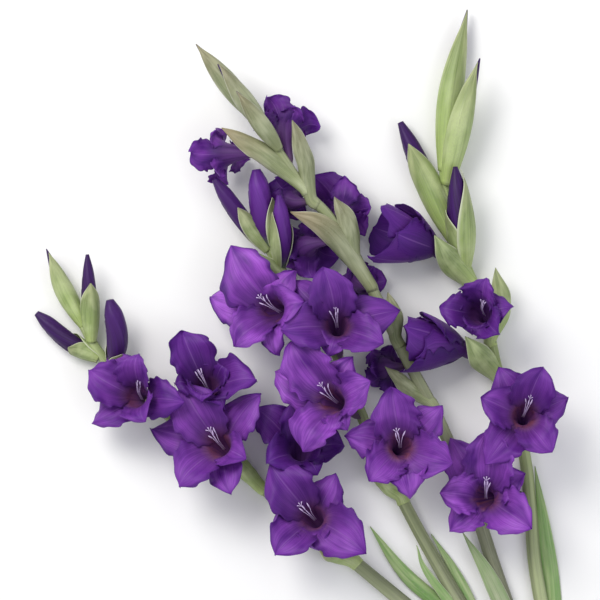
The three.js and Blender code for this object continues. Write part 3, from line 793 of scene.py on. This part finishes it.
# Each bud: its middle line from foot to tip, its half width, how much of its length its two bracts cover,
# and the turn of the first bract round it in degrees (90 is on top). blunt is how thick its tip stays,
# light how bright its violet is, wrap how far round its bracts go, and blush how brown they are.
buds = {
    "left_bud_1": dict(
        path=[[-228, -28, 13], [-252, 16, 16], [-268, 54, 17]], half=9, cover=[0.95, 0.8], turn=75,
    ),
    "left_bud_2": dict(
        path=[[-220, -44, 15], [-222, 4, 26], [-224, 48, 29]], half=9, cover=[0.68, 0.62], blunt=0.5,
        turn=75,
    ),
    "left_bud_3": dict(
        path=[[-213, -62, 12], [-244, -44, 10.5], [-279, -14, 9]], half=10, cover=[0.5, 0.4],
        blunt=0.9, turn=300,
    ),
    "left_bud_4": dict(
        path=[[-197, -72, 14], [-192, -38, 30], [-200, 0, 38]], half=12, cover=[0.36, 0.3],
        blunt=1.0, turn=240, light=0.25, wrap=80,
    ),
    "back_bud_1": dict(
        path=[[-44, 188, 57], [-75, 226, 55], [-109, 268, 50]], half=10, cover=[1, 0.8], blush=0.3,
        turn=90,
    ),
    "back_bud_2": dict(
        path=[[-34, 176, 60], [-58, 208, 68], [-86, 246, 66]], half=9, cover=[1, 0.75], blush=0.25,
        turn=70,
    ),
    "back_bud_3": dict(
        path=[[-22, 158, 60], [-40, 182, 75], [-66, 217, 82]], half=8, cover=[1, 0.7], blush=0.3,
        turn=90,
    ),
    "middle_bud_1": dict(
        path=[[-34, 52, 28], [-64, 90, 36], [-90, 127, 40]], half=10, cover=[0.6, 0.5], blunt=0.9,
        turn=75, light=0.25, wrap=72,
    ),
    "middle_bud_2": dict(
        path=[[-32, 58, 30], [-40, 96, 40], [-46, 137, 44]], half=13, cover=[0.62, 0.5], blunt=1.0,
        turn=30, light=0.8, wrap=66,
    ),
    "middle_bud_3": dict(
        path=[[-20, 34, 26], [-19, 74, 50], [-22, 110, 58]], half=11, cover=[0.8, 0.6], blunt=0.6,
        turn=150, light=0.7, wrap=64,
    ),
    "right_bud_1": dict(
        path=[[152, 136, 15], [159, 216, 14.5], [177, 307, 10]], half=12, cover=[1, 0.85], turn=90,
    ),
    "right_bud_2": dict(
        path=[[155, 122, 18], [170, 190, 34], [189, 254, 38]], half=11.5, cover=[0.97, 0.86],
        turn=105,
    ),
    "right_bud_3": dict(
        path=[[163, 62, 12], [136, 122, 13], [106, 188, 12]], half=12.5, cover=[0.82, 0.74],
        blunt=0.7, turn=100,
    ),
    "right_bud_4": dict(
        path=[[174, 34, 12], [168, 84, 32], [163, 140, 40]], half=14, cover=[0.97, 0.6], blunt=0.4,
        turn=0,
    ),
}


def budGrids(bud, tone):
    # furled body: radius x (1 + fold x sawtooth, three turns round with a twist along it); two bracts wrap
    # its foot, each spanning `wrap` degrees to both sides of its middle and closing to a point
    look = budLook
    profile = np.array(look["profile"]) + bud.get("blunt", 0.0) * np.array(look["bluntGain"])
    line = evenPath(bud["path"], look["rows"])
    t = np.linspace(0, 1, look["rows"])
    angle = np.linspace(0, fullTurn, look["sides"], endpoint=False)
    saw = (3 * angle[None] / fullTurn + look["twist"] * t[:, None]) % 1
    wobble = look["fold"] * (saw - 0.5) * smooth(t, 0.1, 0.4)[:, None]
    body = tubeGrid(line, bud["half"] * along(profile, t) * look["bodyShare"], look["sides"], wobble,
                    across=2 * saw - 1, along=t[:, None], tone=rng.uniform(0, 1),
                    kind=bud.get("light", 0.1))
    sheaths = []
    across, rise = pathFrame(line)
    v = np.linspace(0, 1, bractLook["rows"])
    u = np.linspace(-1, 1, bractLook["columns"])
    for number, cover in enumerate(bud["cover"]):
        at = v * cover
        radius = bud["half"] * along(profile, at) + look["skin"] * (1.5 - number + 0.8 * v**3)
        halfTurn = np.radians(bud.get("wrap", look["wrap"])) * along(look["wrapShape"], v)
        turn = np.radians(bud["turn"] + 180 * number) + u[None] * halfTurn[:, None]
        ridge = look["skin"] * np.exp(-(u / bractLook["keelWidth"])**2)
        reach = radius[:, None] + ridge[None] * np.sin(np.pi * v)[:, None]
        aside, upward = along(across, at)[:, None], along(rise, at)[:, None]
        outward = np.cos(turn)[..., None] * aside + np.sin(turn)[..., None] * upward
        points = along(line, at)[:, None] + reach[..., None] * outward
        sheaths.append(dict(points=points, across=u, along=v[:, None], tone=tone,
                            kind=bud.get("blush", 0.15)))
    return body, sheaths


for name, bud in buds.items():
    body, sheaths = budGrids(bud, freshTone(name))
    finishPiece(meshOf(name + "_furled", [body], materials["furled"]), "bud", name)
    green = meshOf(name + "_sheath", sheaths, materials["bract"])
    finishPiece(thicken(green, bractLook["thickness"]), "bract")
print("stage: buds made")

# Each bract: its stem and how far along it grows, the middle and tip of its blade, its half width, and how
# brown its tip has gone (0 to 1).
bracts = {
    "left_bract_1": dict(
        on="left", share=0.795, blade=[[-172, -106, 19], [-200, -90, 19]], half=9, blush=0.1,
    ),
    "left_bract_2": dict(
        on="left", share=0.547, blade=[[-60, -178, 19], [-76, -161, 15]], half=9, blush=0.2,
    ),
    "left_bract_3": dict(
        on="left", share=0.422, blade=[[-4, -210, 18], [-24, -160, 16]], half=11, blush=0.2,
    ),
    "left_bract_4": dict(on="left", share=0.33, blade=[[40, -268, 20], [14, -252, 24]], half=12, blush=0.6),
    "back_bract_1": dict(on="back", share=0.852, blade=[[5, 146, 64], [-8, 188, 56]], half=9, blush=0.1),
    "back_bract_2": dict(
        on="back", share=0.875, blade=[[-38, 152, 66], [-82, 180, 54]], half=10, blush=0.5,
    ),
    "back_bract_3": dict(on="back", share=0.745, blade=[[50, 80, 61], [36, 108, 52]], half=10, blush=0.1),
    "back_bract_4": dict(on="back", share=0.705, blade=[[32, 72, 62], [-10, 92, 56]], half=12, blush=0.5),
    "back_bract_5": dict(on="back", share=0.613, blade=[[100, -20, 44], [92, 8, 40]], half=8, blush=0.1),
    "back_bract_6": dict(on="back", share=0.505, blade=[[116, -94, 34], [90, -70, 36]], half=8, blush=0.1),
    "middle_bract_1": dict(
        on="middle", share=0.458, blade=[[92, -196, 20], [76, -164, 24]], half=9, blush=0.5,
    ),
    "middle_bract_2": dict(
        on="middle", share=0.868, blade=[[-20, 24, 33], [-46, 50, 40]], half=9, blush=0.0,
    ),
    "right_bract_1": dict(
        on="right", share=0.775, blade=[[158, 42, 34], [141, 68, 44]], half=13, blush=0.0,
    ),
    "right_bract_2": dict(
        on="right", share=0.682, blade=[[213, -10, 22], [206, 34, 24]], half=10, blush=0.1,
    ),
    "right_bract_3": dict(
        on="right", share=0.612, blade=[[192, -62, 34], [173, -38, 44]], half=13, blush=0.0,
    ),
}


# what bracts and leaves share: the arc across the blade for each unit of its half width, its shares of that
# past the middle, its length at the tip, and the share of the stem that the foot follows before it leaves
bladeLook = {"arc": 1.45, "narrowing": [0.92, 0.6], "tipArc": 0.25, "footShare": 0.016}


def bladeGrid(blade, tone, look):
    # A sheath round its stem that opens into a blade. Its axis runs along the stem, then to the blade's
    # middle and tip. At share v the section is an arc of radius r and `wrap` degrees to both sides of its
    # top: r (sin(wrap u) across + cos(wrap u) rise), with a ridge at u = 0 and rippled edges. The arc's
    # length goes from the stem's girth at the foot to the blade's half width, then to nothing at the tip.
    v = np.linspace(0, 1, look["rows"])
    u = np.linspace(-1, 1, look["columns"])[None]
    turn = np.radians(along(look["wrap"], v))
    girth = (stemRadiusAt(blade["share"]) + look["clearance"]) * turn[0]
    reach = blade["half"] * bladeLook["arc"]
    narrower = [reach * share for share in bladeLook["narrowing"]]
    arc = along([girth, (girth + reach) / 2, reach, *narrower, bladeLook["tipArc"]], v)
    radius = arc / turn
    middle, tip = (np.array(place, float) for place in blade["blade"])
    foot = [stemPoint(blade["on"], blade["share"] + step) for step in (0, bladeLook["footShare"])]
    line = evenPath([*foot, middle - [0, 0, radius[len(v) // 2]], tip], look["rows"])
    across, rise = pathFrame(line)
    waves, phase = rng.uniform(1.5, 3.0), rng.uniform(0, fullTurn)
    free = smooth(v, 0.25, 0.6)[:, None]
    ripple = look["ripple"] * free * np.abs(u)**3 * np.sin(fullTurn * waves * v[:, None] + phase + 1.5 * u)
    ridge = look["keel"] * np.exp(-(u / look["keelWidth"])**2) * free * (1 - v[:, None])
    r = radius[:, None] + ripple + ridge
    points = (line[:, None] + (r * np.sin(turn[:, None] * u))[..., None] * across[:, None]
              + (r * np.cos(turn[:, None] * u))[..., None] * rise[:, None])
    return dict(points=points, across=u, along=v[:, None], tone=tone, kind=blade.get("blush", 0.0))


def pressOut(points, line, radii):
    # moves points that lie nearer to a line than its radius straight out to that radius
    flat = points.reshape(-1, 3)
    gaps = flat[:, None] - line[None]
    distance = np.linalg.norm(gaps, axis=2)
    nearest = distance.argmin(axis=1)
    away = gaps[np.arange(len(flat)), nearest]
    near = distance[np.arange(len(flat)), nearest][:, None]
    short = np.maximum(radii[nearest][:, None] - near, 0)
    return (flat + away / np.maximum(near, 1e-6) * short).reshape(points.shape)


def tubeRadii(t, clearance=1.2):
    # the outside of a floret's tube at each share t of it, with air round it
    look = tepalLook
    outside = [look["tubeRadius"] * share for share in look["tubeOutside"]]
    return along(outside + [look["throatRadius"]], t) + clearance


for name, bract in bracts.items():
    grid = bladeGrid(bract, freshTone(name), bractLook)
    for floret in florets.values():
        if floret["on"] == bract["on"] and abs(floret["share"] - bract["share"]) < bractLook["nearShare"]:
            t = np.linspace(0, 1, bractLook["tubeSteps"])
            grid["points"] = pressOut(grid["points"], tubeLine(floret, t)[0], tubeRadii(t))
    made = meshOf(name + "_blade", [grid], materials["bract"])
    finishPiece(thicken(made, bractLook["thickness"]), "bract", name)

# leaves: as for bracts
leafLook = {
    "columns": 13, "rows": 44, "thickness": 0.7, "keel": 0.5, "keelWidth": 0.12, "ripple": 0.4,
    "clearance": 0.4, "wrap": [100, 70, 40, 28, 24, 20],
}

# Each leaf: its stem and how far along it grows, the middle and tip of its blade, and its half width.
leaves = {
    "left_leaf": dict(on="middle", share=0.16, blade=[[117, -296, 4], [74, -240, 2]], half=6),
    "middle_leaf_1": dict(on="middle", share=0.12, blade=[[137, -292, 14], [123, -259, 16]], half=4),
    "middle_leaf_2": dict(on="middle", share=0.09, blade=[[168, -296, 4], [139, -248, 2]], half=5),
    "back_leaf": dict(on="back", share=0.1, blade=[[204, -300, 17], [172, -246, 15]], half=7),
    "right_leaf": dict(on="right", share=0.065, blade=[[266, -296, 4], [249, -176, 2]], half=7),
}

for name, leaf in leaves.items():
    made = meshOf(name + "_blade", [bladeGrid(leaf, freshTone(name), leafLook)], materials["leaf"])
    finishPiece(thicken(made, leafLook["thickness"]), "leaf", name)
print("stage: bracts and leaves made")

# the floor, the view and the room's own light, in metres unless a name says otherwise
studioLook = {
    "floorHalf": 6, "floorLevel": -0.0005, "cameraHeight": 4.0, "viewLevel": 0.04, "viewAcross": 0.63,
    "sensorMm": 36, "farEnd": 50, "worldColour": "#F2F3F6", "worldStrength": 0.72,
}


def addStage():
    # a pale matt floor far larger than the bunch, just under it
    half, level = studioLook["floorHalf"], studioLook["floorLevel"]
    corners = [(-half, -half, level), (half, -half, level), (half, half, level), (-half, half, level)]
    mesh = bpy.data.meshes.new("floor")
    mesh.from_pydata(corners, [], [(0, 1, 2, 3)])
    material, tree, shader = newMaterial("white paper floor")
    fill(tree, shader, {"Base Color": linear("#F4F4F4"), "Roughness": 0.9})
    mesh.materials.append(material)
    floor = bpy.data.objects.new("floor", mesh)
    bpy.context.scene.collection.objects.link(floor)


def addLamp(name, place, aim, size, power, code):
    # a square soft box that points from its place to its aim
    lamp = bpy.data.lights.new(name, "AREA")
    lamp.shape = "SQUARE"
    lamp.size = size
    lamp.energy = power
    lamp.color = linear(code)[:3]
    made = bpy.data.objects.new(name, lamp)
    made.location = place
    made.rotation_euler = (Vector(place) - Vector(aim)).to_track_quat("Z", "Y").to_euler()
    bpy.context.scene.collection.objects.link(made)


def addWorld():
    # even light from all round
    world = bpy.data.worlds.new("studio")
    world.use_nodes = True
    fill(world.node_tree, world.node_tree.nodes["Background"], {
        0: linear(studioLook["worldColour"]), 1: studioLook["worldStrength"],
    })
    bpy.context.scene.world = world


def addCamera():
    # straight above the bunch, with a long lens: focal length = sensor x distance / width seen
    look = studioLook
    camera = bpy.data.cameras.new("camera")
    camera.sensor_width = look["sensorMm"]
    camera.lens = look["sensorMm"] * (look["cameraHeight"] - look["viewLevel"]) / look["viewAcross"]
    camera.clip_end = look["farEnd"]
    made = bpy.data.objects.new("camera", camera)
    made.location = (shift[0] * mm, shift[1] * mm, look["cameraHeight"])
    bpy.context.scene.collection.objects.link(made)
    bpy.context.scene.camera = made


addStage()
addLamp("key", (-1.1, 1.3, 1.9), (0, 0.05, 0), 1.3, 44, "#FFFDF8")
addLamp("fill", (1.5, -0.6, 1.6), (0, 0, 0), 1.4, 9, "#F4F6FF")
addWorld()
addCamera()
bpy.context.scene.view_settings.view_transform = "Standard"
print("stage: floor, lights and camera set")
